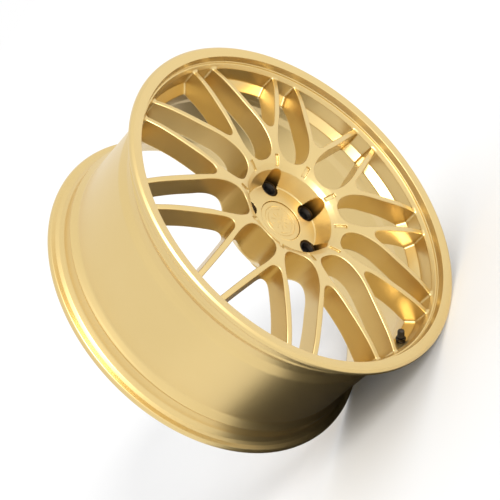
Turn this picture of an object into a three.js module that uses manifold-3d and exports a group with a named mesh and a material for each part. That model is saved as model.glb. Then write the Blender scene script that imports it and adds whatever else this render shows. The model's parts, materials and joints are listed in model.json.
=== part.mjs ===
// Eighteen-inch forged racing wheel: a ten-spoke forked design with five lug holes.
//
// Frame: millimetres, +Z up, the wheel's axis along Y. -Y is the outboard (face) side and
// +Y the inboard side. The origin is on the axis, halfway between the two outer edges.
// The wheel is a single forging. The flanges and barrel of its rim, the bowl of its hub, the five
// sectors of its mounting disc, the spoke stems and the spoke arms are modelled as separate solids
// that meet across a hairline gap. The cap, lug seats and valve are real pieces.

import * as THREE from 'three';
import { mergeVertices } from 'three/addons/utils/BufferGeometryUtils.js';
import Module from 'manifold-3d';

const wasm = await Module();
wasm.setup();

// ---- Driving dimensions -------------------------------------------------------------------
const OVERALL_WIDTH = 224.2;      // outboard lip to inboard flange edge
const CROWN_INSET = 6;            // outer edge to the flange's largest radius
const FLANGE_RADIUS = 248.5;
const SEAT_RADIUS = 231.0;        // bead seat of an 18-inch rim
const WELL_RADIUS = 219.5;
const BARREL_RADIUS = 224.5;
const WALL = 6;
const POCKET_RADIUS = 225;        // wall that the spoke windows run out to
const GAP = 0.3;                  // hairline gap between touching solids
const RIM_SPLIT_DEPTH = 29.5;     // just inboard of the bead seat's hump
const RIM_SEGMENTS = 60;          // the facets let the wheel stand still upright

const SPOKES = 10;
const SPOKE_STEP = 360 / SPOKES;
const STEM_START = 84;            // radius where hub and stems meet
const STEM_END = 131;             // radius where a stem hands over to its two arms
const CROTCH_RADIUS = 122.6;

const HUB_BORE_RADIUS = 28.55;    // 57.1 mm spigot
const HUB_SPLIT_DEPTH = 40.3;     // level with the floor of the recess
const PAD_DEPTH = 71.1;           // front crown to mounting pad, an offset of 35 mm
const RECESS_DEPTH = 40.3;
const RECESS_RADIUS = 54.1;
const LUGS = 5;
const LUG_CIRCLE_RADIUS = 50;     // 5 x 100 mm pattern
const LUG_START = 36;             // degrees from +X towards +Z
const LUG_POCKET_RADIUS = 12;      // at the bottom of the pocket, which widens to the front
const LUG_POCKET_DRAFT = 0.107;
const LUG_HOLE_RADIUS = 10.2;     // bore in the forging that takes the steel seat
const LUG_SEAT_DEPTH = 46;

const SLOT_WIDTH = 5.5;
const SLOT_START = 66;            // inside the chamfer, so that the slot opens into it
const SLOT_END = 82.1;
const SLOT_FLOOR_DEPTH = 10.4;

const CAP_RADIUS = 29.9;
const CAP_DEPTH = 40.8;
const VALVE_ANGLE = -108;         // degrees, in line with one of the spokes

// ---- Helpers ------------------------------------------------------------------------------
const FRONT_CROWN_Y = -OVERALL_WIDTH / 2 + CROWN_INSET;
const radians = THREE.MathUtils.degToRad;

// Depths are measured inboard from the front flange's largest radius.
function atDepth(depth) {
  return FRONT_CROWN_Y + depth;
}

function toSolid(geometry) {
  const bare = geometry.index ? geometry.clone() : mergeVertices(geometry);
  bare.deleteAttribute('normal');
  bare.deleteAttribute('uv');
  const merged = mergeVertices(bare, 1e-4);
  const triangles = [];
  const index = merged.index.array;
  for (let i = 0; i < index.length; i += 3) {
    const [a, b, c] = [index[i], index[i + 1], index[i + 2]];
    if (a !== b && b !== c && c !== a) {
      triangles.push(a, b, c);
    }
  }
  const vertices = new Float32Array(merged.attributes.position.array);
  if (signedVolume(vertices, triangles) < 0) {
    triangles.reverse();
  }
  const mesh = new wasm.Mesh({
    numProp: 3,
    vertProperties: vertices,
    triVerts: new Uint32Array(triangles),
  });
  return new wasm.Manifold(mesh);
}

function signedVolume(vertices, triangles) {
  const corner = (k) => new THREE.Vector3().fromArray(vertices, 3 * triangles[k]);
  let volume = 0;
  for (let i = 0; i < triangles.length; i += 3) {
    volume += corner(i).dot(corner(i + 1).cross(corner(i + 2)));
  }
  return volume;
}

function toGeometry(solid) {
  const mesh = solid.getMesh();
  const geometry = new THREE.BufferGeometry();
  const positions = new Float32Array(mesh.vertProperties);
  geometry.setAttribute('position', new THREE.BufferAttribute(positions, 3));
  geometry.setIndex(new THREE.BufferAttribute(new Uint32Array(mesh.triVerts), 1));
  return geometry;
}

// A ring or disc turned about Y. A profile that doesn't reach the axis closes on itself.
// The flats, not the corners, of the turned polygon lie at the given radii.
function turned(profile, segments = RIM_SEGMENTS) {
  const half = Math.PI / segments;
  const points = profile.map(([radius, y]) => new THREE.Vector2(radius / Math.cos(half), y));
  const closed = profile[0][0] === 0 && profile.at(-1)[0] === 0;
  if (!closed) {
    points.push(points[0].clone());
  }
  return new THREE.LatheGeometry(points, segments, half);
}

// Coordinates of a wheel sector: x runs radially at the given angle, y is tangential and
// z runs outboard, starting from the given depth.
function sectorMatrix(angle, depth) {
  const a = radians(angle);
  const radial = new THREE.Vector3(Math.cos(a), 0, Math.sin(a));
  const tangent = new THREE.Vector3(-Math.sin(a), 0, Math.cos(a));
  const outboard = new THREE.Vector3(0, -1, 0);
  const matrix = new THREE.Matrix4().makeBasis(radial, tangent, outboard);
  return matrix.setPosition(0, atDepth(depth), 0);
}

function extruded(shape, angle, backDepth, frontDepth, curveSegments = 6) {
  const options = { depth: backDepth - frontDepth, bevelEnabled: false, curveSegments };
  const geometry = new THREE.ExtrudeGeometry(shape, options);
  return geometry.applyMatrix4(sectorMatrix(angle, backDepth));
}

function polar(radius, angle) {
  return new THREE.Vector2(radius * Math.cos(angle), radius * Math.sin(angle));
}

// Everything between two depths, used to divide the rim and the hub across the axis.
function slab(from, to) {
  const side = 3 * FLANGE_RADIUS;
  const box = new THREE.BoxGeometry(side, to - from, side);
  return toSolid(box.translate(0, atDepth((from + to) / 2), 0));
}

// ---- Spoke outline ------------------------------------------------------------------------
// Half-widths along the arc of the leaf-shaped window between two spokes, and of the fork
// window between the two arms of a spoke, against radius.
const LEAF_EDGE = [
  [STEM_START + GAP, 17.5], [92, 21.8], [104, 25], [118, 25.2], [131, 24.4],
  [150, 21.6], [180, 18.6], [204, 16.6], [228, 14.4],
];
const FORK_EDGE = [[124.2, 4.6], [131, 9.4], [150, 17.5], [180, 30.2], [204, 40.2], [228, 50]];

function leafSide(side) {
  const middle = radians(SPOKE_STEP / 2);
  return LEAF_EDGE.map(([radius, width]) => polar(radius, side * (middle - width / radius)));
}

function forkSide(side) {
  return FORK_EDGE.map(([radius, width]) => polar(radius, (side * width) / radius));
}

function smooth(points, steps) {
  return new THREE.SplineCurve(points).getPoints(steps);
}

function spokeOutline() {
  const crotch = new THREE.Vector2(CROTCH_RADIUS, 0);
  const fork = smooth([...forkSide(-1).reverse(), crotch, ...forkSide(1)], 28);
  const upper = smooth(leafSide(1), 16).reverse();
  const lower = smooth(leafSide(-1), 16);
  return new THREE.Shape([...lower, ...fork, ...upper]);
}

function sectorBand(inner, outer, low, high) {
  const shape = new THREE.Shape();
  shape.moveTo(inner, low);
  shape.lineTo(outer, low);
  shape.lineTo(outer, high);
  shape.lineTo(inner, high);
  shape.closePath();
  return shape;
}

// The turned envelope that gives stems and arms their dished front and back faces.
const SPOKE_FACE = [
  [STEM_START + GAP, 6.3], [100, 3], [CROTCH_RADIUS, 0.3], [160, 1.5], [200, 6],
  [POCKET_RADIUS - GAP, 12.6],
];
const SPOKE_BACK = [
  [POCKET_RADIUS - GAP, 32.6], [212.6, 42.4], [208, 43], [170, 34], [135, 31],
  [104, 36], [STEM_START + GAP, 50],
];

const spokeEnvelope = toSolid(
  turned([...SPOKE_FACE, ...SPOKE_BACK].map(([radius, depth]) => [radius, atDepth(depth)])),
);

function buildSpoke(angle) {
  const body = toSolid(extruded(spokeOutline(), angle, 60, -2)).intersect(spokeEnvelope);
  const far = FLANGE_RADIUS;
  const part = (inner, outer, low, high) => {
    const band = sectorBand(inner, outer, low, high);
    return toGeometry(body.intersect(toSolid(extruded(band, angle, 62, -4))));
  };
  return {
    stem: part(STEM_START - 2, STEM_END - GAP, -far / 4, far / 4),
    armA: part(STEM_END, far, 0, far / 2),
    armB: part(STEM_END, far, -far / 2, 0),
  };
}

// ---- Rim ----------------------------------------------------------------------------------
function buildRim() {
  const front = -OVERALL_WIDTH / 2;
  const rear = OVERALL_WIDTH / 2;
  const frontCrown = atDepth(0);
  const rearCrown = -frontCrown;
  const profile = [
    // outboard lip, from its inner step out over the crown
    [POCKET_RADIUS, atDepth(12.4)], [229.2, atDepth(5.4)], [230.4, atDepth(6.2)],
    [231, atDepth(4.4)], [233.5, front + 2.4], [241.5, front], [244.8, front],
    [247.7, frontCrown - 3], [FLANGE_RADIUS, frontCrown], [246.6, frontCrown + 3.2],
    // front bead seat and hump, then the drop centre
    [237.5, frontCrown + 5.2], [SEAT_RADIUS + 1, frontCrown + 11], [SEAT_RADIUS - 0.6, atDepth(26)],
    [SEAT_RADIUS + 0.8, atDepth(28.5)], [229.5, atDepth(32)], [WELL_RADIUS, atDepth(44)],
    [WELL_RADIUS, atDepth(60)], [BARREL_RADIUS, atDepth(74)],
    // rear hump, bead seat and flange
    [BARREL_RADIUS, rearCrown - 38], [SEAT_RADIUS + 0.8, rearCrown - 28.5],
    [SEAT_RADIUS - 0.6, rearCrown - 26], [SEAT_RADIUS + 1, rearCrown - 11],
    [237.5, rearCrown - 5.2], [246.6, rearCrown - 3.2], [FLANGE_RADIUS, rearCrown],
    [247.7, rearCrown + 3], [244.8, rear], [236, rear], [231.5, rear - 4],
    // inside of the barrel, back to the shelf and pocket wall
    [225, rearCrown - 10], [BARREL_RADIUS - WALL, rearCrown - 40],
    [BARREL_RADIUS - WALL, atDepth(76)], [213, atDepth(61)], [213, atDepth(42.6)],
    [POCKET_RADIUS - 0.3, atDepth(33)],
  ];
  return toSolid(turned(profile));
}

// ---- Valve axis ---------------------------------------------------------------------------
// The valve stands square on the sloping shelf behind the pocket wall.
const SHELF_MIDDLE = { radius: 220, depth: 36.9 };
const SHELF_SLOPE = Math.atan2(42.6 - 33, 224.7 - 213);

function valveMatrix() {
  const a = radians(VALVE_ANGLE);
  const radial = new THREE.Vector3(Math.cos(a), 0, Math.sin(a));
  const outboard = new THREE.Vector3(0, -1, 0);
  const axis = outboard.clone().multiplyScalar(Math.cos(SHELF_SLOPE));
  axis.addScaledVector(radial, -Math.sin(SHELF_SLOPE));
  const side = new THREE.Vector3().crossVectors(outboard, radial).normalize();
  const across = new THREE.Vector3().crossVectors(side, axis);
  const base = radial.multiplyScalar(SHELF_MIDDLE.radius);
  base.y = atDepth(SHELF_MIDDLE.depth);
  return new THREE.Matrix4().makeBasis(across, axis, side).setPosition(base);
}

function tube(inner, outer, low, high, segments = 20) {
  return turned([[inner, low], [outer, low], [outer, high], [inner, high]], segments);
}

function rod(radius, low, high, segments = 20) {
  return turned([[0, low], [radius, low], [radius, high], [0, high]], segments);
}

const VALVE_HOLE_RADIUS = 4.5;
const VALVE_SPOT_RADIUS = 8.4;    // flat machined on the tyre side for the grommet
const STEM_RADIUS = 4.1;
const THREAD_RADIUS = 3.75;
const STEM_BORE = 2.65;
const VALVE_TOP = 14.5;

function buildValve() {
  const stem = turned([
    [STEM_BORE, -12.2], [7.6, -12.2], [7.6, -9.3], [STEM_RADIUS, -9.3], [STEM_RADIUS, 9],
    [THREAD_RADIUS, 9.2], [THREAD_RADIUS, VALVE_TOP], [STEM_BORE, VALVE_TOP],
  ], 20);
  const nutBlank = toSolid(rod(6, 1.8, 6.2, 6));
  const nut = toGeometry(nutBlank.subtract(toSolid(rod(4.45, 0, 8))));
  const capShell = turned([
    [0, 17.4], [3.9, 17.4], [4.6, 16.7], [4.6, 7.4], [4.45, 6.6], [4.4, 6.6],
    [4.4, 9.6], [4.1, 9.9], [4.1, 16.2], [0, 16.2],
  ], 20);
  const pin = turned([
    [0, -0.6], [1.9, -0.6], [1.9, 1.2], [0.7, 1.6], [0.7, 14], [0, 14],
  ], 12);
  const coreBody = turned([
    [1.1, 2.9], [2.3, 2.9], [2.3, 13.2], [1.1, 13.2], [1.1, 11.2], [1.85, 11.2],
    [1.85, 4.2], [1.1, 4.2],
  ], 16);
  return {
    valve_stem: [stem, 'blackMetal'],
    valve_grommet: [tube(4.45, 7.4, -9, -6.2), 'rubber'],
    valve_washer: [tube(4.45, 6.2, 0.3, 1.5), 'blackMetal'],
    valve_nut: [nut, 'blackMetal'],
    valve_core_body: [coreBody, 'brass'],
    valve_core_spring: [coil(1.4, 0.16, 4.6, 10.8, 5), 'springSteel'],
    valve_core_pin: [pin, 'brass'],
    valve_cap_seal: [tube(1.2, 3.6, 15.1, 15.9, 16), 'rubber'],
    valve_cap: [capShell, 'blackMetal'],
  };
}

class Helix extends THREE.Curve {
  constructor(radius, low, high, turns) {
    super();
    this.size = { radius, low, high, turns };
  }

  getPoint(t, target = new THREE.Vector3()) {
    const { radius, low, high, turns } = this.size;
    const angle = 2 * Math.PI * turns * t;
    const height = low + (high - low) * t;
    return target.set(radius * Math.cos(angle), height, radius * Math.sin(angle));
  }
}

function coil(radius, wire, low, high, turns) {
  const section = new THREE.Shape().absarc(0, 0, wire, 0, 2 * Math.PI, false);
  return new THREE.ExtrudeGeometry(section, {
    steps: turns * 12,
    curveSegments: 3,
    bevelEnabled: false,
    extrudePath: new Helix(radius, low, high, turns),
  });
}

// ---- Hub ----------------------------------------------------------------------------------
function leafInnerEnd(angle) {
  const shape = new THREE.Shape();
  const inner = 76;
  shape.moveTo(inner, 0);
  shape.bezierCurveTo(inner, 9, 78, 14.5, STEM_START + GAP, 17.8);
  shape.lineTo(STEM_START + 8, 22);
  shape.lineTo(STEM_START + 8, -22);
  shape.lineTo(STEM_START + GAP, -17.8);
  shape.bezierCurveTo(78, -14.5, inner, -9, inner, 0);
  return toSolid(extruded(shape, angle, PAD_DEPTH + 4, -4, 4));
}

// Shallow square-ended slot that opens into the chamfer at the root of each spoke.
function hubSlot(angle) {
  const shape = sectorBand(SLOT_START, SLOT_END, -SLOT_WIDTH / 2, SLOT_WIDTH / 2);
  return toSolid(extruded(shape, angle, SLOT_FLOOR_DEPTH, 0));
}

function lugPosition(number) {
  return radians(LUG_START + (number * 360) / LUGS);
}

function alongLug(geometry, number) {
  const angle = lugPosition(number);
  const x = LUG_CIRCLE_RADIUS * Math.cos(angle);
  const z = LUG_CIRCLE_RADIUS * Math.sin(angle);
  return geometry.clone().translate(x, 0, z);
}

function buildHub() {
  const profile = [
    [HUB_BORE_RADIUS, 46.4], [CAP_RADIUS + 0.5, 46.4], [CAP_RADIUS + 0.5, RECESS_DEPTH],
    [RECESS_RADIUS, RECESS_DEPTH], [63.5, 17.1], [70, 12], [STEM_START, 6.3],
    [STEM_START, 50], [78, 60], [75, PAD_DEPTH], [HUB_BORE_RADIUS, PAD_DEPTH],
    [HUB_BORE_RADIUS, 55.6], [HUB_BORE_RADIUS + 1, 54.6], [HUB_BORE_RADIUS + 1, 51.4],
    [HUB_BORE_RADIUS, 50.4],
  ];
  let hub = toSolid(turned(profile.map(([radius, depth]) => [radius, atDepth(depth)]), 40));
  for (let i = 0; i < SPOKES; i += 1) {
    hub = hub.subtract(leafInnerEnd(SPOKE_STEP * (i + 0.5)));
    hub = hub.subtract(hubSlot(SPOKE_STEP * i));
  }
  const pocketBottom = RECESS_DEPTH + 1.5;
  const pocketTop = -4;
  const topRadius = LUG_POCKET_RADIUS + LUG_POCKET_DRAFT * (pocketBottom - pocketTop);
  const pocket = turned([
    [0, atDepth(pocketTop)], [topRadius, atDepth(pocketTop)],
    [LUG_POCKET_RADIUS, atDepth(pocketBottom)], [0, atDepth(pocketBottom)],
  ], 20);
  const bore = rod(LUG_HOLE_RADIUS, atDepth(30), atDepth(62), 20);
  const outlet = rod(7.4, atDepth(60), atDepth(PAD_DEPTH + 4), 20);
  for (let number = 0; number < LUGS; number += 1) {
    for (const cutter of [pocket, bore, outlet]) {
      hub = hub.subtract(toSolid(alongLug(cutter, number)));
    }
  }
  const disc = hub.intersect(slab(HUB_SPLIT_DEPTH, 100));
  const parts = { hub_bowl: toGeometry(hub.intersect(slab(-10, HUB_SPLIT_DEPTH - GAP))) };
  for (let number = 0; number < LUGS; number += 1) {
    const wedge = discWedge(LUG_START + ((number + 0.5) * 360) / LUGS);
    parts[`hub_disc_sector_${number + 1}`] = toGeometry(disc.intersect(wedge));
  }
  return parts;
}

// A fifth of the disc, between the axes of two neighbouring lug holes.
function discWedge(middle) {
  const reach = 2 * STEM_START;
  const half = radians(180 / LUGS);
  const inset = GAP / 2 / Math.sin(half);
  const shape = new THREE.Shape();
  shape.moveTo(inset, 0);
  shape.lineTo(inset + reach * Math.cos(half), -reach * Math.sin(half));
  shape.lineTo(inset + reach * Math.cos(half), reach * Math.sin(half));
  shape.closePath();
  return toSolid(extruded(shape, middle, 110, 0));
}

// Steel insert pressed into the lug bore, with the 60-degree cone that the nut bears on.
function lugSeat() {
  const radius = LUG_HOLE_RADIUS - GAP;
  const profile = [
    [6.8, 61.7], [radius, 61.7], [radius, LUG_SEAT_DEPTH - 3.4],
    [radius - 0.9, LUG_SEAT_DEPTH - 3.4], [6.8, LUG_SEAT_DEPTH],
  ];
  return turned(profile.map(([r, depth]) => [r, atDepth(depth)]), 20);
}

// ---- Centre cap ---------------------------------------------------------------------------
function buildCap() {
  const shell = turned([
    [0, CAP_DEPTH + 1.3], [22.4, CAP_DEPTH + 1.3], [22.8, CAP_DEPTH + 0.1], [28.9, CAP_DEPTH + 0.1],
    [CAP_RADIUS, CAP_DEPTH + 1], [CAP_RADIUS, 46], [26.6, 46], [26.6, 57.5], [24.6, 57.5],
    [24.6, 45], [0, 45],
  ].map(([radius, depth]) => [radius, atDepth(depth)]), 40);
  const emblem = turned([
    [0, CAP_DEPTH], [21, CAP_DEPTH], [22, CAP_DEPTH + 0.3], [22, CAP_DEPTH + 1], [0, CAP_DEPTH + 1],
  ].map(([radius, depth]) => [radius, atDepth(depth)]), 36);
  const spring = tube(26.95, 28.2, atDepth(52.2), atDepth(53.8), 36);
  return {
    centre_cap: [shell, 'capGold'],
    cap_emblem_disc: [emblem, 'capGold'],
    cap_snap_ring: [spring, 'springSteel'],
  };
}

// ---- Materials and assembly ---------------------------------------------------------------
const MATERIALS = {
  gold: new THREE.MeshStandardMaterial({ color: 0xdcc08a, roughness: 0.42, metalness: 0.75 }),
  capGold: new THREE.MeshStandardMaterial({ color: 0xdfc690, roughness: 0.45, metalness: 0.6 }),
  darkSteel: new THREE.MeshStandardMaterial({ color: 0x1d1a17, roughness: 0.45, metalness: 0.9 }),
  springSteel: new THREE.MeshStandardMaterial({ color: 0x8d8f92, roughness: 0.35, metalness: 1 }),
  blackMetal: new THREE.MeshStandardMaterial({ color: 0x141312, roughness: 0.5, metalness: 0.4 }),
  brass: new THREE.MeshStandardMaterial({ color: 0xb08d45, roughness: 0.35, metalness: 1 }),
  rubber: new THREE.MeshStandardMaterial({ color: 0x161616, roughness: 0.85, metalness: 0 }),
};

const wheel = new THREE.Group();

function add(name, geometry, material) {
  const mesh = new THREE.Mesh(geometry, MATERIALS[material]);
  mesh.name = name;
  wheel.add(mesh);
  return mesh;
}

const valveFrame = valveMatrix();
const valveHole = rod(VALVE_HOLE_RADIUS, -14, 4).applyMatrix4(valveFrame);
const spotFace = rod(VALVE_SPOT_RADIUS, -18, -5.9).applyMatrix4(valveFrame);
const rim = buildRim().subtract(toSolid(valveHole)).subtract(toSolid(spotFace));
const outboardSplit = RIM_SPLIT_DEPTH;
const inboardSplit = OVERALL_WIDTH - 2 * CROWN_INSET - RIM_SPLIT_DEPTH;
const rimParts = {
  rim_outboard_flange: slab(-20, outboardSplit - GAP),
  rim_barrel: slab(outboardSplit, inboardSplit),
  rim_inboard_flange: slab(inboardSplit + GAP, OVERALL_WIDTH + 20),
};
for (const [name, part] of Object.entries(rimParts)) {
  add(name, toGeometry(rim.intersect(part)), 'gold');
}

for (const [name, geometry] of Object.entries(buildHub())) {
  add(name, geometry, 'gold');
}

for (let i = 0; i < SPOKES; i += 1) {
  const label = String(i + 1).padStart(2, '0');
  const spoke = buildSpoke(SPOKE_STEP * i);
  add(`spoke_${label}_stem`, spoke.stem, 'gold');
  add(`spoke_${label}_arm_a`, spoke.armA, 'gold');
  add(`spoke_${label}_arm_b`, spoke.armB, 'gold');
}

const seat = lugSeat();
for (let number = 0; number < LUGS; number += 1) {
  add(`lug_seat_${number + 1}`, toGeometry(toSolid(alongLug(seat, number))), 'darkSteel');
}

for (const [name, [geometry, material]] of Object.entries(buildCap())) {
  add(name, toGeometry(toSolid(geometry)), material);
}

for (const [name, [geometry, material]] of Object.entries(buildValve())) {
  add(name, toGeometry(toSolid(geometry.clone().applyMatrix4(valveFrame))), material);
}

export default wheel;
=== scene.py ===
"""Looks of an 18-inch forged racing wheel: satin gold, ten forked spokes, black valve and lug seats.

Lengths inside this script are millimetres and become metres when a mesh is made. A radius and a
depth place a point on the wheel: depth runs inboard (+Y) from the front flange's largest circle.
"""

import json
import math

import bmesh
import bpy
import numpy as np
import openvdb
from mathutils import Matrix, Vector


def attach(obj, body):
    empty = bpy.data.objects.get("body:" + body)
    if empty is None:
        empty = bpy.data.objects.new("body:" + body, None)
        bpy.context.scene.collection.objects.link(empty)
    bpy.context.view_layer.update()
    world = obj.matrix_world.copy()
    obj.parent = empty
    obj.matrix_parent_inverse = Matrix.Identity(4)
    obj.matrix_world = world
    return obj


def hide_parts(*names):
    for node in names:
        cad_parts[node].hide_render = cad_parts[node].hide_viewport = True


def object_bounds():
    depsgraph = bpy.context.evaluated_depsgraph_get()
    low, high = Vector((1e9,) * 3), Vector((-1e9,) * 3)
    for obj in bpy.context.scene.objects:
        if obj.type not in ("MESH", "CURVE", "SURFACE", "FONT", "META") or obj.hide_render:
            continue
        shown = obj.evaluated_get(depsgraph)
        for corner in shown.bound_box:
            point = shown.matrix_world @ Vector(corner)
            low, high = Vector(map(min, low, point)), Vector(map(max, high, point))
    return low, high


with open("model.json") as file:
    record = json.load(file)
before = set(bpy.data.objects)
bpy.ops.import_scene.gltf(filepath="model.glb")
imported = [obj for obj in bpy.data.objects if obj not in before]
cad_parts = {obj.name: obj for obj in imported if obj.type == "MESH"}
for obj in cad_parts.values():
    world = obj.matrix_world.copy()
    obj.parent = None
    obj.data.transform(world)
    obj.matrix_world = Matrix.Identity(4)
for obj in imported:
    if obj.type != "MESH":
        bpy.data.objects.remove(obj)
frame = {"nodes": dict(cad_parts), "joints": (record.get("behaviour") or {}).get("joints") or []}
cad_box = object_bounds()

MM = 0.001

# ---- Driving dimensions -------------------------------------------------------------------
OVERALL_WIDTH = (cad_box[1][1] - cad_box[0][1]) / MM
CROWN_INSET = 6.0
FRONT_CROWN_Y = -OVERALL_WIDTH / 2 + CROWN_INSET
REAR_CROWN_DEPTH = OVERALL_WIDTH - 2 * CROWN_INSET
FLANGE_RADIUS = (cad_box[1][2] - cad_box[0][2]) / MM / 2
SEAT_RADIUS = 231.0
BARREL_RADIUS = 224.5
BARREL_INSIDE = 218.5
WELL_RADIUS = 219.5
POCKET_RADIUS = 225.0
SPOKES = 10
SECTOR = 2 * math.pi / SPOKES
LUGS = 5
LUG_START = math.radians(36)
LUG_STEP = 2 * math.pi / LUGS
LUG_CIRCLE_RADIUS = 50.0
LUG_POCKET_RADIUS = 12.0
LUG_POCKET_DRAFT = 0.107
LUG_POCKET_BOTTOM = 41.8
# Depth from which the lug pockets take the painted shade.
LUG_SHADE_FROM = 13.0
SLOT_HALF_WIDTH = 2.75
SLOT_INNER_END = 64.0
SLOT_END = 82.1
SLOT_DEPTH = 2.9
LUG_BORE_RADIUS = 10.0
LUG_OUTLET_RADIUS = 7.4
LUG_OUTLET_DEPTH = 62.0
RECESS_DEPTH = 40.3
PAD_DEPTH = 71.1
PAD_RADIUS = 50.0
PAD_RELIEF_DEPTH = 61.5
PAD_EAR_RADIUS = 17.5
PAD_EAR_SHIFT = 3.0
CAP_TOP = 40.8
CAP_DOME = 0.95
THREAD_PITCH = 0.794


# ---- Small mesh tools ---------------------------------------------------------------------
def new_object(name, mesh):
    """A new object in the scene that shows the mesh."""
    piece = bpy.data.objects.new(name, mesh)
    bpy.context.scene.collection.objects.link(piece)
    return piece


def mesh_from(name, vertices, faces):
    """A mesh from vertices in millimetres, with its faces pointing out and shaded smooth."""
    mesh = bpy.data.meshes.new(name)
    mesh.from_pydata(np.asarray(vertices) * MM, [], faces)
    work = bmesh.new()
    work.from_mesh(mesh)
    bmesh.ops.remove_doubles(work, verts=work.verts, dist=0.002 * MM)
    bmesh.ops.recalc_face_normals(work, faces=work.faces)
    work.to_mesh(mesh)
    work.free()
    mesh.polygons.foreach_set("use_smooth", [True] * len(mesh.polygons))
    return mesh


def rounded(corners, steps=5):
    """Points along a closed outline whose corners are (x, y) or (x, y, fillet radius)."""
    points = []
    count = len(corners)
    for i, corner in enumerate(corners):
        here = Vector(corner[:2])
        fillet = corner[2] if len(corner) > 2 else 0
        if not fillet:
            points.append(tuple(here))
            continue
        before = Vector(corners[i - 1][:2]) - here
        after = Vector(corners[(i + 1) % count][:2]) - here
        half = before.angle(after) / 2
        reach = min(fillet / math.tan(half), 0.49 * before.length, 0.49 * after.length)
        start = here + before.normalized() * reach
        end = here + after.normalized() * reach
        for k in range(steps + 1):
            t = k / steps
            points.append(tuple(start * (1 - t) ** 2 + here * 2 * t * (1 - t) + end * t ** 2))
    return points


def spline(points, steps):
    """A Catmull-Rom curve through the points, with the given steps to each stretch."""
    knots = [np.array(p, float) for p in points]
    knots = [2 * knots[0] - knots[1]] + knots + [2 * knots[-1] - knots[-2]]
    curve = []
    for a, b, c, d in zip(knots, knots[1:], knots[2:], knots[3:]):
        for k in range(steps):
            t = k / steps
            curve.append(0.5 * (2 * b + (c - a) * t + (2 * a - 5 * b + 4 * c - d) * t ** 2
                                + (3 * b - a - 3 * c + d) * t ** 3))
    curve.append(knots[-2])
    return np.array(curve)


def turned(name, outline, segments, closed=True):
    """A ring or disc turned about Y from an outline of (radius, y) points."""
    outline = [(max(r, 0.0), y) for r, y in outline]
    turns = 2 * math.pi * np.arange(segments) / segments
    vertices = [(r * math.cos(a), y, r * math.sin(a)) for a in turns for r, y in outline]
    count = len(outline)
    last = count if closed else count - 1
    faces = []
    for i in range(segments):
        j = (i + 1) % segments
        for k in range(last):
            m = (k + 1) % count
            faces.append((i * count + k, i * count + m, j * count + m, j * count + k))
    mesh = mesh_from(name, vertices, faces)
    work = bmesh.new()
    work.from_mesh(mesh)
    bmesh.ops.dissolve_degenerate(work, edges=work.edges, dist=0.001 * MM)
    work.to_mesh(mesh)
    work.free()
    return mesh


def sharpen(mesh, degrees=32):
    """Keeps edges crisp where faces meet at more than the given angle."""
    mesh.polygons.foreach_set("use_smooth", [True] * len(mesh.polygons))
    mesh.set_sharp_from_angle(angle=math.radians(degrees))


# ---- Distance fields for the forged centre ------------------------------------------------
def outline_distance(outline, x, y):
    """Signed distance, negative inside, from points to a closed outline."""
    outline = np.asarray(outline, float)
    best = np.full(np.shape(x), 1e9)
    inside = np.zeros(np.shape(x), bool)
    for (ax, ay), (bx, by) in zip(outline, np.roll(outline, -1, axis=0)):
        ex, ey = bx - ax, by - ay
        length = ex * ex + ey * ey
        if length < 1e-12:
            continue
        t = np.clip(((x - ax) * ex + (y - ay) * ey) / length, 0, 1)
        best = np.minimum(best, (x - ax - t * ex) ** 2 + (y - ay - t * ey) ** 2)
        if ay != by:
            crosses = ((ay > y) != (by > y)) & (x < ex * (y - ay) / ey + ax)
            inside ^= crosses
    distance = np.sqrt(best)
    return np.where(inside, -distance, distance)


def join_round(a, b, fillet):
    """Union of two solids with a fillet in the inner corner between them."""
    u = np.maximum(fillet - a, 0)
    v = np.maximum(fillet - b, 0)
    return np.maximum(fillet, np.minimum(a, b)) - np.hypot(u, v)


def meet_round(a, b, fillet):
    """Intersection of two solids with a rounded outer edge."""
    u = np.maximum(fillet + a, 0)
    v = np.maximum(fillet + b, 0)
    return np.minimum(-fillet, np.maximum(a, b)) + np.hypot(u, v)


def cut_round(a, b, fillet):
    """The first solid less the second, with a rounded edge between them."""
    return meet_round(a, -b, fillet)


FACE_POINTS = [
    (70, 12), (75.5, 9.3), (82, 6.8), (100, 3), (122.6, 0.3), (142, 0.1), (160, 1.5),
    (180, 3.4), (200, 6.2), (214, 9.4), (225, 12.6), (229, 13.8),
]
BACK_POINTS = [
    (229, 40), (213, 43.5), (206, 42.6), (190, 38), (168, 33.6), (140, 31.4), (118, 32.6),
    (100, 38.5), (88, 48), (80, 58.5), (75.5, 66),
]
LEAF_HALF_WIDTHS = [
    (76, 0), (76.5, 5.4), (78.2, 10.4), (81, 14.4), (85, 18), (92, 21.8), (104, 24.8),
    (118, 25.3), (132, 24.2), (150, 21.4), (180, 18.4), (204, 16.4), (228, 14.2), (244, 12.6),
]
FORK_HALF_WIDTHS = [
    (122.6, 0), (123.3, 2.9), (125.4, 5.7), (131, 9.4), (150, 17.6), (180, 30.2),
    (204, 40.2), (228, 50), (244, 56.4),
]
WINDOW_DRAFT = 0.05
WINDOW_EDGE = 1.5
RIM_FILLET = 3.2
# Behind the valve shelf the centre stops at a cone: its normal in (radius, depth), and its reach.
SHELF_NORMAL = (0.7305, 0.6826)
SHELF_BACK = 188.3
SHELF_TAIL_RADIUS = 216.3
RING_REACH = 231.6


def face_depth(radius):
    """Depth of the front face of the hub and spokes at a radius."""
    curve = spline(FACE_POINTS, 6)
    return np.interp(radius, curve[:, 0], curve[:, 1])


def half_window(widths):
    """Outline of a window folded onto its own middle line: x radial, y from 0 outwards."""
    edge = spline([(r * math.cos(w / r), r * math.sin(w / r)) for r, w in widths], 6)
    far = edge[-1][0]
    return np.vstack([edge, [(far, -60), (edge[0][0] - 0.001, -60)]])


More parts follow.
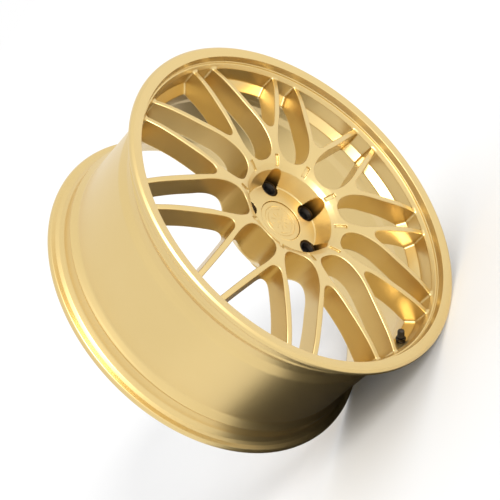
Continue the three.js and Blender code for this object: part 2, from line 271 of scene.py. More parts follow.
def blank_outline():
    """Section of the disc that the windows are cut from, from the cap's bore out to the rim."""
    recess = rounded([
        (28.55, PAD_DEPTH, 0.8), (28.55, 46.4), (30.4, 46.4, 0.3), (30.4, RECESS_DEPTH, 0.5),
        (54.1, RECESS_DEPTH, 2.2), (63.5, 17.1, 0.9), (70, 12, 0.9), (75.5, 9.3),
    ])[:-1]
    return recess + [tuple(p) for p in spline(FACE_POINTS, 6)[1:]] + [
        tuple(p) for p in spline(BACK_POINTS, 6)] + [(75, PAD_DEPTH)]


def ring_outline():
    """Annulus that the arms run out to: its sloping face, pocket wall and valve shelf."""
    return rounded([
        (POCKET_RADIUS, 12.8, 0.9), (226.8, 9.6, 1.2), (228.4, 6.7, 1.0), (231.6, 6.7),
        (231.6, 9.5), (229.9, 12), (229.9, 29), (228.2, 31.4), (216.8, 43.6), (216, 54),
        (213, 54), (213, 42.7, 1.6), (POCKET_RADIUS - 0.3, 33.2, 2.4),
    ])


class ForgedCentre:
    """Signed distance to hub, spokes and outer ring as one blended forging."""

    def __init__(self):
        self.blank = blank_outline()
        self.ring = ring_outline()
        self.leaf = half_window(LEAF_HALF_WIDTHS)
        self.fork = half_window(FORK_HALF_WIDTHS)

    def plan(self, x, z):
        """Everything that depends only on where a point lies in the wheel's plane."""
        radius = np.hypot(x, z)
        angle = np.arctan2(z, x)
        off_spoke = np.abs(angle - SECTOR * np.round(angle / SECTOR))
        off_leaf = SECTOR / 2 - off_spoke
        from_lug = angle - LUG_START
        off_lug = from_lug - LUG_STEP * np.round(from_lug / LUG_STEP)
        lug_x = radius * np.cos(off_lug) - LUG_CIRCLE_RADIUS
        lug_y = radius * np.sin(off_lug)
        spoke_x = radius * np.cos(off_spoke)
        spoke_y = radius * np.sin(off_spoke)
        slot_corner = 0.9
        past_end = spoke_x - SLOT_END
        past_side = np.abs(spoke_y) - SLOT_HALF_WIDTH
        outside = np.hypot(np.maximum(past_end + slot_corner, 0), np.maximum(past_side + slot_corner, 0))
        within = np.minimum(np.maximum(past_end, past_side) + slot_corner, 0)
        return {
            "radius": radius,
            "face": face_depth(radius),
            "leaf": outline_distance(
                self.leaf, radius * np.cos(off_leaf), radius * np.sin(off_leaf)),
            "fork": outline_distance(self.fork, spoke_x, spoke_y),
            "lug": np.hypot(lug_x, lug_y),
            "slot": outside + within - slot_corner,
            "pad_ear": np.hypot(lug_x - PAD_EAR_SHIFT, lug_y),
        }

    def profile(self, outline, radius, depth):
        """Distance in the (radius, depth) plane; one whole slice shares a single depth."""
        if np.ndim(depth):
            return outline_distance(outline, radius, depth)
        farthest = 340
        line = np.arange(0, farthest, 0.4)
        return np.interp(radius, line, outline_distance(outline, line, np.full_like(line, depth)))

    def distance(self, plan, depth):
        """Distance at a depth, or at one depth for each point, over the given plan."""
        radius = plan["radius"]
        body = self.profile(self.blank, radius, depth)
        draft = WINDOW_DRAFT * np.maximum(depth - plan["face"], 0)
        body = cut_round(body, plan["leaf"] + draft, WINDOW_EDGE)
        body = cut_round(body, plan["fork"] + draft, WINDOW_EDGE)
        pad = join_round(radius - PAD_RADIUS, plan["pad_ear"] - PAD_EAR_RADIUS, 8)
        relief = np.maximum(-pad, PAD_RELIEF_DEPTH - depth)
        body = cut_round(body, relief, 1.2)
        body = join_round(body, self.profile(self.ring, radius, depth), RIM_FILLET)
        past_shelf = SHELF_NORMAL[0] * radius + SHELF_NORMAL[1] * depth - SHELF_BACK
        body = np.maximum(body, np.minimum(past_shelf, radius - SHELF_TAIL_RADIUS))
        body = np.maximum(body, radius - RING_REACH)
        slot = np.maximum(plan["slot"], depth - plan["face"] - SLOT_DEPTH)
        slot = np.maximum(slot, SLOT_INNER_END - radius)
        body = cut_round(body, slot, 0.3)
        widened = LUG_POCKET_RADIUS + LUG_POCKET_DRAFT * (LUG_POCKET_BOTTOM - depth)
        pocket = np.maximum(plan["lug"] - widened, depth - LUG_POCKET_BOTTOM)
        body = cut_round(body, pocket, 0.6)
        bore = np.maximum(plan["lug"] - LUG_BORE_RADIUS, depth - LUG_OUTLET_DEPTH)
        body = np.maximum(body, -bore)
        outlet = plan["lug"] - LUG_OUTLET_RADIUS
        return cut_round(body, outlet, 0.5)

    def at(self, points):
        """Distance at each (x, depth, z) point."""
        return self.distance(self.plan(points[:, 0], points[:, 2]), points[:, 1])

    def slope(self, points, step=0.35):
        """Which way, and how fast, the distance grows at each point."""
        slopes = []
        for axis in range(3):
            shift = np.zeros(3)
            shift[axis] = step
            slopes.append((self.at(points + shift) - self.at(points - shift)) / (2 * step))
        return np.stack(slopes, axis=1)


def settle(points, solid, rounds=2):
    """Moves points onto the solid's surface, and returns them with its outward normals."""
    for _ in range(rounds):
        slope = solid.slope(points)
        length = np.maximum((slope ** 2).sum(1), 0.25)
        move = (solid.at(points) / length)[:, None] * slope
        points = points - np.clip(move, -0.5, 0.5)
    slope = solid.slope(points)
    normals = slope / np.maximum(np.linalg.norm(slope, axis=1), 1e-6)[:, None]
    return points, normals


def forged_centre():
    """The blended forging as one mesh: sampled, made into quads, thinned and settled."""
    solid = ForgedCentre()
    cell = 1.1
    reach = 232.0
    front, back = -3.3, 75
    band = 5.0
    most_faces = 95_000
    side = np.arange(-reach, reach + cell, cell)
    depths = np.arange(front, back, cell)
    plan = solid.plan(*np.meshgrid(side, side, indexing="ij"))
    field = np.stack([solid.distance(plan, d) for d in depths], axis=1)
    grid = openvdb.FloatGrid(band)
    grid.copyFromArray(np.clip(field, -band, band).astype(np.float32))
    cells, quads = grid.convertToQuads(isovalue=0)
    start = np.array([side[0], depths[0], side[0]])
    mesh = mesh_from("forged_centre", np.asarray(cells) * cell + start, quads.tolist())
    piece = new_object("forged_centre", mesh)
    thin = piece.modifiers.new("thin", "DECIMATE")
    thin.ratio = min(1.0, most_faces / len(mesh.polygons))
    view = bpy.context.evaluated_depsgraph_get()
    thinned = bpy.data.meshes.new_from_object(piece.evaluated_get(view))
    piece.modifiers.clear()
    piece.data = thinned
    flat = np.empty(len(thinned.vertices) * 3)
    thinned.vertices.foreach_get("co", flat)
    points, normals = settle(flat.reshape(-1, 3) / MM, solid)
    thinned.vertices.foreach_set("co", (points * MM).ravel())
    thinned.polygons.foreach_set("use_smooth", [True] * len(thinned.polygons))
    thinned.normals_split_custom_set_from_vertices(normals)
    thinned.transform(Matrix.Translation((0, FRONT_CROWN_Y * MM, 0)))
    return piece


# ---- Rim ----------------------------------------------------------------------------------
def rim_outline():
    """Closed section of lip, bead seats, drop centre, barrel and rear flange, behind the ring."""
    rear = REAR_CROWN_DEPTH
    seat = SEAT_RADIUS
    corners = [
        (229.9, 7.5), (230.2, 5.6, 0.4), (231.0, 4.6, 0.6), (232.4, -4.0, 0.9),
        (240.0, -5.5, 6), (244.4, -CROWN_INSET, 1.6), (247.9, -3.6, 3),
        (FLANGE_RADIUS, 0.4, 2.5), (246.6, 3.6, 2.5), (240.5, 4.6, 3), (236.2, 6.8, 3.5),
        (seat + 0.9, 12.5, 5), (seat - 0.5, 26, 1.5), (seat + 0.8, 28.4, 1.2),
        (seat - 0.6, 30.6, 1), (229.4, 32.4, 1.5), (WELL_RADIUS, 44, 7), (WELL_RADIUS, 56, 9),
        (BARREL_RADIUS, 68, 12), (BARREL_RADIUS, rear - 38, 8), (229.6, rear - 31, 2.5),
        (seat + 0.8, rear - 28.4, 1.2), (seat - 0.5, rear - 26, 1.5),
        (seat + 0.9, rear - 12.5, 5), (236.2, rear - 6.8, 3.5), (240.5, rear - 4.6, 3),
        (246.6, rear - 3.6, 2.5), (FLANGE_RADIUS, rear - 0.4, 2.5), (247.9, rear + 3.6, 3),
        (244.4, rear + CROWN_INSET, 1.6), (235.4, rear + CROWN_INSET, 1.5), (231.4, rear + 1.6, 2.5),
        (225.5, rear - 9, 12), (BARREL_INSIDE, rear - 42, 25), (BARREL_INSIDE, 77, 10),
        (213.35, 62, 8), (213.35, 47), (216, 44.5), (227.6, 32), (229.2, 29),
    ]
    return [(r, FRONT_CROWN_Y + d) for r, d in rounded(corners, 6)]


def rim_shell():
    """Lip, barrel and rear flange turned in one, with the stepped valve hole cut through."""
    shell = new_object("rim_shell", turned("rim_shell", rim_outline(), 288))
    bore, foot_seat, foot = 4.5, -5.9, 8.4
    hole = turned("valve_hole", [
        (0, 4), (bore, 4), (bore, foot_seat), (foot, foot_seat), (foot, -18), (0, -18)], 64,
        closed=False)
    hole.transform(VALVE)
    cut(shell, new_object("valve_hole", hole))
    sharpen(shell.data, 38)
    return shell


# ---- Hub fittings -------------------------------------------------------------------------
def at_lug(mesh, number):
    """Moves the mesh from the wheel's axis to the axis of a bolt hole."""
    angle = LUG_START + number * LUG_STEP
    place = Vector((math.cos(angle), 0, math.sin(angle))) * LUG_CIRCLE_RADIUS * MM
    mesh.transform(Matrix.Translation(place))
    return mesh


def lug_seat(number):
    """Pressed-in steel seat: a cone for the nut between two small chamfers."""
    corners = [
        (6.8, 61.6, 0.3), (9.9, 61.6, 0.3), (9.9, 42.1, 0.5), (9.0, 42.1, 0.4),
        (8.5, 43.2, 0.3), (6.8, 46.4, 0.3),
    ]
    outline = [(r, FRONT_CROWN_Y + d) for r, d in rounded(corners, 3)]
    name = f"lug_seat_{number + 1}_detail"
    mesh = at_lug(turned(name, outline, 64), number)
    sharpen(mesh)
    return new_object(name, mesh)


def centre_cap():
    """Push-in cap: nearly flat face with a thin raised ring, rounded edge and a plain skirt."""
    top = CAP_TOP
    face = [(0.0, top + 0.9), (8, top + CAP_DOME), (20.9, top + 1.1), (21.2, top + 1.1)]
    rings = [(22.1, top + 1.1), (22.5, top + 0.55), (23.2, top + 0.55), (23.6, top + 1.0)]
    edge = [(28.9, top + 0.8), (29.5, top + 0.9), (29.8, top + 1.15), (29.95, top + 1.6)]
    skirt = [(29.95, 45.6), (26.6, 45.9), (26.6, 57.0), (26.0, 57.5), (24.6, 57.5), (24.6, 45), (0, 45)]
    outline = [(r, FRONT_CROWN_Y + d) for r, d in face + rings + edge + skirt]
    mesh = turned("centre_cap_detail", outline, 160, closed=False)
    sharpen(mesh, 40)
    return new_object("centre_cap_detail", mesh)


def emblem():
    """Generic embossed motif: two arcs around ten short radial bars and a small ring."""
    top = FRONT_CROWN_Y + CAP_TOP + CAP_DOME
    height, base = 0.35, 0.4
    work = bmesh.new()

    def raised(points):
        inner = [work.verts.new((x * MM, (top + base) * MM, z * MM)) for x, z in points]
        outer = [work.verts.new((x * MM, (top - height) * MM, z * MM)) for x, z in points]
        count = len(points)
        work.faces.new(outer)
        work.faces.new(list(reversed(inner)))
        for i in range(count):
            j = (i + 1) % count
            work.faces.new((inner[i], inner[j], outer[j], outer[i]))

    def arc(radius, half_width, start, end, steps):
        turns = np.radians(np.linspace(start, end, steps))
        outer = [((radius + half_width) * math.cos(a), (radius + half_width) * math.sin(a))
                 for a in turns]
        inner = [((radius - half_width) * math.cos(a), (radius - half_width) * math.sin(a))
                 for a in turns[::-1]]
        return outer + inner

    for start in (20, 200):
        raised(arc(18.6, 0.45, start, start + 140, 40))
    for i in range(SPOKES):
        middle = math.radians(36 * i)
        along = Vector((math.cos(middle), math.sin(middle)))
        across = Vector((-along.y, along.x)) * 0.8
        near, far = along * 6.5, along * 13.5
        raised([tuple(near - across * 0.6), tuple(far - across), tuple(far + across),
                tuple(near + across * 0.6)])
    raised(arc(3.4, 0.6, 0, 357, 48))
    mesh = bpy.data.meshes.new("cap_emblem_detail")
    bmesh.ops.recalc_face_normals(work, faces=work.faces)
    work.to_mesh(mesh)
    work.free()
    piece = new_object("cap_emblem_detail", mesh)
    bevel = piece.modifiers.new("soft_edges", "BEVEL")
    bevel.width = 0.12 * MM
    bevel.segments = 2
    return piece


def snap_ring():
    """Round-edged spring ring in the groove of the cap's skirt."""
    corners = [(26.95, 52.2, 0.5), (28.2, 52.2, 0.5), (28.2, 53.8, 0.5), (26.95, 53.8, 0.5)]
    outline = [(r, FRONT_CROWN_Y + d) for r, d in rounded(corners)]
    return new_object("cap_snap_ring_detail", turned("cap_snap_ring_detail", outline, 96))


# ---- Valve --------------------------------------------------------------------------------
def valve_frame():
    """Matrix whose Y runs out along the valve, from the cap joint's own axis and anchor."""
    joint = next(j for j in frame["joints"] if j["name"] == "valve_cap_turn")
    axis = Vector(joint["axis"]).normalized()
    side = axis.cross(Vector((0, 1, 0))).normalized()
    across = axis.cross(side)
    turn = Matrix((across, axis, side)).transposed().to_4x4()
    return Matrix.Translation(Vector(joint["pos_m"])) @ turn


VALVE = valve_frame()


def on_valve(name, corners):
    """A ring turned about the valve's axis from its rounded section."""
    mesh = turned(name, rounded(corners, 3), 48)
    mesh.transform(VALVE)
    sharpen(mesh, 30)
    return new_object(name, mesh)


def threaded(name, crest, root, low, high, pitch, inside, segments=40):
    """A screw thread with a true helix, over a plain core."""
    turns = (high - low) / pitch
    vertices, faces = [], []
    profile = [(root, 0.0), (root, 0.18), (crest, 0.5), (crest, 0.62), (root, 0.94)]
    steps = int(turns * segments)
    for i in range(steps + 1):
        angle = 2 * math.pi * i / segments
        base = low + pitch * i / segments - pitch / 2
        for radius, share in profile:
            y = min(max(base + share * pitch, low), high)
            vertices.append((radius * math.cos(angle), y, radius * math.sin(angle)))
    wide = len(profile)
    for i in range(steps):
        for k in range(wide - 1):
            a = i * wide + k
            faces.append((a, a + 1, a + 1 + wide, a + wide))
    core = turned(name + "_core", rounded(
        [(inside, low), (root + 0.01, low), (root + 0.01, high), (inside, high)]), segments)
    mesh = mesh_from(name, vertices, faces)
    work = bmesh.new()
    work.from_mesh(mesh)
    work.from_mesh(core)
    work.to_mesh(mesh)
    work.free()
    mesh.transform(VALVE)
    sharpen(mesh, 50)
    return new_object(name, mesh)


def valve_cap():
    """Moulded cap with a ribbed grip, a rounded crown and a bead at its mouth."""
    ribs = 24
    per_rib = 4
    segments = ribs * per_rib
    rings = [
        (4.05, 9.9, 0), (4.38, 9.6, 0), (4.4, 6.6, 0), (4.62, 6.6, 0), (4.75, 6.9, 0), (4.75, 7.9, 0),
        (4.45, 8.3, 0), (4.3, 8.8, 1), (4.3, 14.9, 1), (4.25, 15.6, 0.6), (3.95, 16.6, 0),
        (3.3, 17.2, 0), (2.2, 17.4, 0), (0.8, 17.45, 0), (0.0, 17.45, 0),
    ]
    inside = [(0.0, 16.2, 0), (3.7, 16.2, 0), (4.05, 16.0, 0)]
    loop = inside + rings
    vertices = []
    for i in range(segments):
        angle = 2 * math.pi * i / segments
        lift = 0.3 if i % per_rib in (1, 2) else 0.0
        for radius, y, ribbed in loop:
            r = radius + lift * ribbed
            vertices.append((r * math.cos(angle), y, r * math.sin(angle)))
    count = len(loop)
    faces = []
    for i in range(segments):
        j = (i + 1) % segments
        for k in range(count):
            m = (k + 1) % count
            if loop[k][0] == 0 and loop[m][0] == 0:
                continue
            faces.append((i * count + k, i * count + m, j * count + m, j * count + k))
    mesh = mesh_from("valve_cap_detail", vertices, faces)
    work = bmesh.new()
    work.from_mesh(mesh)
    bmesh.ops.dissolve_degenerate(work, edges=work.edges, dist=0.001 * MM)
    bmesh.ops.remove_doubles(work, verts=work.verts, dist=0.002 * MM)
    work.to_mesh(mesh)
    work.free()
    mesh.transform(VALVE)
    sharpen(mesh, 40)
    return new_object("valve_cap_detail", mesh)


def valve_nut():
    """Hexagon nut with its corners chamfered into a cone."""
    flat = 6.0
    bore = 4.5
    low, high = 1.8, 6.2
    segments = 72
    levels = [(low, 0.5), (2.3, 0.0), (5.6, 0.0), (high, 0.6)]
    work = bmesh.new()
    rings = []
    for y, chamfer in levels:
        ring = []
        for i in range(segments):
            a = 2 * math.pi * i / segments
            off = (a + math.pi / 6) % (math.pi / 3) - math.pi / 6
            radius = min(flat / math.cos(off), flat * 1.125 - chamfer)
            ring.append(work.verts.new((radius * math.cos(a), y, radius * math.sin(a))))
        rings.append(ring)
    for y in (high, low):
        rings.append([work.verts.new((bore * math.cos(a), y, bore * math.sin(a)))
                      for a in 2 * math.pi * np.arange(segments) / segments])
    for k, ring in enumerate(rings):
        other = rings[(k + 1) % len(rings)]
        for i in range(segments):
            j = (i + 1) % segments
            work.faces.new((ring[i], ring[j], other[j], other[i]))
    bmesh.ops.recalc_face_normals(work, faces=work.faces)
    mesh = bpy.data.meshes.new("valve_nut_detail")
    work.to_mesh(mesh)
    work.free()
    mesh.transform(Matrix.Scale(MM, 4))
    mesh.transform(VALVE)
    sharpen(mesh, 30)
    return new_object("valve_nut_detail", mesh)


def valve_stem():
    """Turned stem below its thread, with the wide foot that holds the grommet."""
    return on_valve("valve_stem_detail", [
        (2.65, -12.2), (7.0, -12.2, 0.5), (7.6, -11.6, 0.3), (7.6, -9.3, 0.3), (4.1, -9.3, 0.3),
        (4.1, 8.9, 0.3), (3.4, 9.3), (2.65, 9.3),
    ])


def core_pin():
    """Pin of the valve core: a thin shaft on a wider sealing foot."""
    foot = [(0, -0.6), (1.7, -0.6), (1.9, -0.4), (1.9, 1.2)]
    shaft = [(0.7, 1.6), (0.7, 13.8), (0.5, 14), (0, 14)]
    mesh = turned("valve_core_pin_detail", foot + shaft, 32, closed=False)
    mesh.transform(VALVE)
    sharpen(mesh)
    return new_object("valve_core_pin_detail", mesh)


# ---- Materials ----------------------------------------------------------------------------
def principled(name, colour, metallic, roughness):
    """A material with its nodes, its links and its set-up shader."""
    material = bpy.data.materials.new(name)
    material.use_nodes = True
    nodes = material.node_tree.nodes
    shader = nodes["Principled BSDF"]
    shader.inputs["Base Color"].default_value = (*colour, 1)
    shader.inputs["Metallic"].default_value = metallic
    shader.inputs["Roughness"].default_value = roughness
    return material, nodes, material.node_tree.links, shader


def object_noise(nodes, links, scale, detail, roughness=0.5):
    """Noise fixed to the object's own coordinates."""
    place = nodes.new("ShaderNodeTexCoord")
    noise = nodes.new("ShaderNodeTexNoise")
    noise.inputs["Scale"].default_value = scale
    noise.inputs["Detail"].default_value = detail
    noise.inputs["Roughness"].default_value = roughness
    links.new(place.outputs["Object"], noise.inputs["Vector"])
    return noise


def spread(nodes, links, source, low, high):
    """Stretches the middle of a noise over a range."""
    ramp = nodes.new("ShaderNodeMapRange")
    ramp.inputs["From Min"].default_value = 0.3
    ramp.inputs["From Max"].default_value = 0.7
    ramp.inputs["To Min"].default_value = low
    ramp.inputs["To Max"].default_value = high
    links.new(source, ramp.inputs["Value"])
    return ramp.outputs["Result"]


def add_bump(nodes, links, shader, height, strength, distance):
    """Drives the shader's normal from a height."""
    bump = nodes.new("ShaderNodeBump")
    bump.inputs["Strength"].default_value = strength
    bump.inputs["Distance"].default_value = distance
    links.new(height, bump.inputs["Height"])
    links.new(bump.outputs["Normal"], shader.inputs["Normal"])


def two_tone(nodes, links, factor, first, second):
    """A colour between two others."""
    mix = nodes.new("ShaderNodeMix")
    mix.data_type = "RGBA"
    mix.inputs["A"].default_value = (*first, 1)
    mix.inputs["B"].default_value = (*second, 1)
    links.new(factor, mix.inputs["Factor"])
    return mix.outputs["Result"]


GOLD = (0.77, 0.58, 0.255)
GOLD_DEEP = (0.74, 0.55, 0.225)


def satin_gold(name, roughness):
    """Satin metallic paint: fine flake, a faint cloudiness and a shallow orange peel."""
    material, nodes, links, shader = principled(name, GOLD, 1.0, roughness)
    shader.inputs["Coat Weight"].default_value = 0.5
    shader.inputs["Coat Roughness"].default_value = 0.3
    shader.inputs["Coat IOR"].default_value = 1.5
    cloud = object_noise(nodes, links, 14, 3)
    tone = two_tone(nodes, links, cloud.outputs["Fac"], GOLD, GOLD_DEEP)
    links.new(tone, shader.inputs["Base Color"])
    flake = object_noise(nodes, links, 2600, 1)
    rough = spread(nodes, links, flake.outputs["Fac"], roughness - 0.05, roughness + 0.07)
    links.new(rough, shader.inputs["Roughness"])
    peel = object_noise(nodes, links, 700, 2)
    add_bump(nodes, links, shader, peel.outputs["Fac"], 0.10, 0.00012)
    return material


def pocket_painted_shade(name):
    """Painted shade: gold that darkens through brown to near black towards the bottom of a lug pocket,
    as shade deepens into the hole.
    """
    # brown and black are painted shade, from the pocket's mouth down to its bottom.
    brown, black = (0.62, 0.36, 0.085), (0.045, 0.026, 0.01)
    material, nodes, links, shader = principled(name, brown, 1.0, 0.42)
    place = nodes.new("ShaderNodeTexCoord")
    parts = nodes.new("ShaderNodeSeparateXYZ")
    links.new(place.outputs["Object"], parts.inputs["Vector"])
    # The painted shade deepens from 18 to 42 mm behind the front crown.
    shade_fall = nodes.new("ShaderNodeMapRange")
    shade_fall.inputs["From Min"].default_value = (FRONT_CROWN_Y + 18) * MM
    shade_fall.inputs["From Max"].default_value = (FRONT_CROWN_Y + 42) * MM
    links.new(parts.outputs["Y"], shade_fall.inputs["Value"])
    tone = two_tone(nodes, links, shade_fall.outputs["Result"], brown, black)
    links.new(tone, shader.inputs["Base Color"])
    grain = object_noise(nodes, links, 900, 3)
    rough = spread(nodes, links, grain.outputs["Fac"], 0.36, 0.5)
    links.new(rough, shader.inputs["Roughness"])
    add_bump(nodes, links, shader, grain.outputs["Fac"], 0.12, 0.0001)
    return material


def dark_metal(name, colour, roughness, metallic=0.85):
    """Dark coated metal or moulded plastic with a fine grain."""
    material, nodes, links, shader = principled(name, colour, metallic, roughness)
    grain = object_noise(nodes, links, 900, 3)
    rough = spread(nodes, links, grain.outputs["Fac"], roughness - 0.08, roughness + 0.1)
    links.new(rough, shader.inputs["Roughness"])
    lighter = tuple(min(1, c * 1.7 + 0.004) for c in colour)
    links.new(two_tone(nodes, links, grain.outputs["Fac"], colour, lighter),
              shader.inputs["Base Color"])
    add_bump(nodes, links, shader, grain.outputs["Fac"], 0.12, 0.0001)
    return material


def rubber(name):
    """Dull black rubber."""
    material, nodes, links, shader = principled(name, (0.02, 0.019, 0.018), 0.0, 0.75)
    grain = object_noise(nodes, links, 1800, 4, 0.7)
    rough = spread(nodes, links, grain.outputs["Fac"], 0.62, 0.86)
    links.new(rough, shader.inputs["Roughness"])
    add_bump(nodes, links, shader, grain.outputs["Fac"], 0.3, 0.0001)
    return material


def bright_metal(name, colour):
    """Bare machined metal."""
    material, nodes, links, shader = principled(name, colour, 1.0, 0.3)
    grain = object_noise(nodes, links, 1200, 3)
    rough = spread(nodes, links, grain.outputs["Fac"], 0.22, 0.4)
    links.new(rough, shader.inputs["Roughness"])
    add_bump(nodes, links, shader, grain.outputs["Fac"], 0.1, 0.00008)
    return material


# ---- Making the pieces --------------------------------------------------------------------
def cut(piece, cutter):
    """Takes the cutter out of the piece for good."""
    knife = piece.modifiers.new("cut", "BOOLEAN")
    knife.operation = "DIFFERENCE"
    knife.solver = "EXACT"
    knife.object = cutter
    view = bpy.context.evaluated_depsgraph_get()
    result = bpy.data.meshes.new_from_object(piece.evaluated_get(view))
    piece.modifiers.clear()
    piece.data = result
    bpy.data.objects.remove(cutter)


def coil_spring(name, radius, wire, low, high, turns):
    """Round wire wound into a helix about the valve's axis."""
    per_turn, around = 28, 10
    steps = int(turns * per_turn)
    vertices, faces = [], []
    for i in range(steps + 1):
        angle = 2 * math.pi * i / per_turn
        out = Vector((math.cos(angle), 0, math.sin(angle)))
        centre = out * radius + Vector((0, low + (high - low) * i / steps, 0))
        for k in range(around):
            turn = 2 * math.pi * k / around
            point = centre + (out * math.cos(turn) + Vector((0, 1, 0)) * math.sin(turn)) * wire
            vertices.append(tuple(point))
    for i in range(steps):
        for k in range(around):
            m = (k + 1) % around
            a, b = i * around, (i + 1) * around
            faces.append((a + k, a + m, b + m, b + k))
    faces.append(tuple(range(around)))
    faces.append(tuple(steps * around + k for k in reversed(range(around))))
    mesh = mesh_from(name, vertices, faces)
    mesh.transform(VALVE)
    return new_object(name, mesh)


def declare(piece, body, slot, nodes, *materials):
    """Rides the piece on its body in place of CAD nodes, with its materials. The slot is not used."""
    piece.data.materials.clear()
    for material in materials:
        piece.data.materials.append(material)
    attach(piece, body)
    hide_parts(*nodes)


def shade_lug_pockets(piece):
    """Second material, the painted shade, on the walls of the lug pockets, their bores and their
    outlets.
    """
    margin = 0.35
    for face in piece.data.polygons:
        x, y, z = face.center / MM
        turn = math.atan2(z, x) - LUG_START
        turn -= LUG_STEP * round(turn / LUG_STEP)
        radius = math.hypot(x, z)
        off = math.hypot(radius * math.cos(turn) - LUG_CIRCLE_RADIUS, radius * math.sin(turn))
        depth = y - FRONT_CROWN_Y
        wall = LUG_POCKET_RADIUS + LUG_POCKET_DRAFT * max(LUG_POCKET_BOTTOM - depth, 0)
        if depth > LUG_OUTLET_DEPTH:
            wall = LUG_OUTLET_RADIUS
        if off < wall + margin and LUG_SHADE_FROM < depth < PAD_DEPTH - margin:
            face.material_index = 1


gold = satin_gold("satin_gold", 0.36)
gold_cap = satin_gold("cap_satin_gold", 0.42)
emblem_gold = satin_gold("emblem_gold", 0.3)
# Painted shade for the lug pockets, darker further in.
pocket_shade = pocket_painted_shade("lug_pocket_painted_shade")
seat_steel = dark_metal("lug_seat_steel", (0.035, 0.03, 0.026), 0.38)
valve_black = dark_metal("valve_black_metal", (0.02, 0.015, 0.009), 0.42)
cap_black = dark_metal("valve_cap_black", (0.016, 0.011, 0.006), 0.5, metallic=0.1)
steel = bright_metal("spring_steel", (0.56, 0.57, 0.58))
brass = bright_metal("valve_brass", (0.72, 0.52, 0.22))
seal_rubber = rubber("seal_rubber")

centre = forged_centre()
forging = [name for name in frame["nodes"] if name.startswith(("hub_", "spoke_"))]
declare(centre, "wheel", "wheel_gold", forging, gold, pocket_shade)
# Puts the painted shade on the lug pocket walls, bores and outlets.
shade_lug_pockets(centre)

rim_nodes = ["rim_outboard_flange", "rim_barrel", "rim_inboard_flange"]
declare(rim_shell(), "wheel", "wheel_gold", rim_nodes, gold)

for lug in range(LUGS):
    declare(lug_seat(lug), "wheel", "lug_seat_steel", [f"lug_seat_{lug + 1}"], seat_steel)

declare(centre_cap(), "centre_cap", "cap_gold", ["centre_cap"], gold_cap)
declare(emblem(), "centre_cap", "cap_emblem", ["cap_emblem_disc"], emblem_gold)
declare(snap_ring(), "centre_cap", "spring_steel", ["cap_snap_ring"], steel)

declare(valve_stem(), "wheel", "valve_metal", ["valve_stem"], valve_black)
thread = threaded("valve_thread_detail", 3.75, 3.3, 9.3, 14.5, THREAD_PITCH, 2.65)
thread.data.materials.append(valve_black)
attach(thread, "wheel")
declare(valve_nut(), "wheel", "valve_metal", ["valve_nut"], valve_black)
declare(on_valve("valve_washer_detail", [
    (4.45, 0.3, 0.2), (6.2, 0.3, 0.2), (6.2, 1.5, 0.4), (4.45, 1.5, 0.2)]),
    "wheel", "valve_metal", ["valve_washer"], valve_black)
declare(on_valve("valve_grommet_detail", [
    (4.45, -9, 0.3), (7.4, -9, 0.7), (7.4, -6.2, 0.7), (4.45, -6.2, 0.3)]),
    "wheel", "rubber_seal", ["valve_grommet"], seal_rubber)
declare(on_valve("valve_core_body_detail", [
    (1.1, 2.9, 0.1), (2.3, 2.9, 0.2), (2.3, 13.2, 0.2), (1.1, 13.2, 0.1), (1.1, 11.2), (1.85, 11.2),
    (1.85, 4.2), (1.1, 4.2)]), "wheel", "brass", ["valve_core_body"], brass)
declare(coil_spring("valve_core_spring_detail", 1.4, 0.16, 4.6, 10.8, 5), "wheel", "spring_steel",
        ["valve_core_spring"], steel)
declare(core_pin(), "valve_core", "brass", ["valve_core_pin"], brass)
declare(on_valve("valve_cap_seal_detail", [
    (1.2, 15.1, 0.2), (3.6, 15.1, 0.3), (3.6, 15.9, 0.3), (1.2, 15.9, 0.2)]),
    "valve_seal", "rubber_seal", ["valve_cap_seal"], seal_rubber)
declare(valve_cap(), "valve_cap", "valve_cap_black", ["valve_cap"], cap_black)


# ---- Stage --------------------------------------------------------------------------------
def aim(thing, place, target):
    """Places a light so that it points at the target."""
    thing.location = place
    thing.rotation_euler = (Vector(target) - Vector(place)).to_track_quat("-Z", "Y").to_euler()


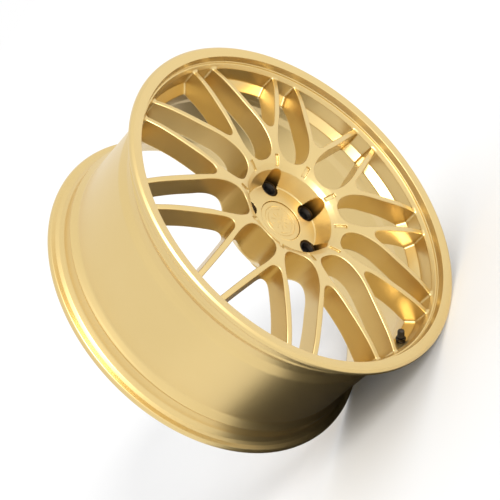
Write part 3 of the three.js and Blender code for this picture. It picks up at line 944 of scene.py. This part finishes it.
def soft_sun(name, place, target, strength, width):
    """Sunlight from the direction of a place, its disc as wide as the given degrees."""
    light = bpy.data.lights.new(name, "SUN")
    light.energy = strength
    light.angle = math.radians(width)
    lamp = bpy.data.objects.new(name, light)
    bpy.context.scene.collection.objects.link(lamp)
    aim(lamp, place, target)


def level_sheet(name, left, right, front, back, level):
    """A flat rectangle in metres, facing up."""
    mesh = bpy.data.meshes.new(name)
    corners = [(left, front, level), (right, front, level), (right, back, level), (left, back, level)]
    mesh.from_pydata(corners, [], [(0, 1, 2, 3)])
    return new_object(name, mesh)


def dark_card():
    """Negative fill lying under the rear of the wheel, seen only in reflections."""
    card = level_sheet("dark_card", -0.36, 0.45, -0.1, 0.38, cad_box[0][2] - 0.0001)
    black = principled("card_black", (0.01, 0.008, 0.006), 0.0, 0.9)[0]
    card.data.materials.append(black)
    card.visible_camera = False
    card.visible_shadow = False
    card.visible_diffuse = False


def floor():
    """Pale floor with no gloss, wide enough that its far edge stays out of sight."""
    half = 60
    sheet = level_sheet("floor", -half, half, -half, half, cad_box[0][2] - 0.0002)
    pale, _, _, shader = principled("floor_pale", (0.85, 0.85, 0.85), 0.0, 1.0)
    shader.inputs["Specular IOR Level"].default_value = 0.0
    sheet.data.materials.append(pale)


dark_card()
floor()
world = bpy.data.worlds.new("studio")
world.use_nodes = True
world.node_tree.nodes["Background"].inputs["Color"].default_value = (1, 1, 1, 1)
world.node_tree.nodes["Background"].inputs["Strength"].default_value = 1.0
bpy.context.scene.world = world
soft_sun("key", (-1.0, -2.75, 1.25), (0, 0, 0), 2.2, 16)

camera_place = (-1.3496, -1.2001, 0.4282)
camera_data = bpy.data.cameras.new("camera")
camera_data.lens = 100.69
camera_data.sensor_width = 36
camera = bpy.data.objects.new("camera", camera_data)
bpy.context.scene.collection.objects.link(camera)
right = Vector((0.2324, -0.545, -0.8056)).normalized()
ahead = Vector((0.7253, 0.649, -0.2299)).normalized()
above = right.cross(ahead).normalized()
camera.matrix_world = Matrix.Translation(camera_place) @ Matrix(
    (right, above, -ahead)).transposed().to_4x4()
bpy.context.scene.camera = camera
bpy.context.scene.view_settings.view_transform = "Standard"
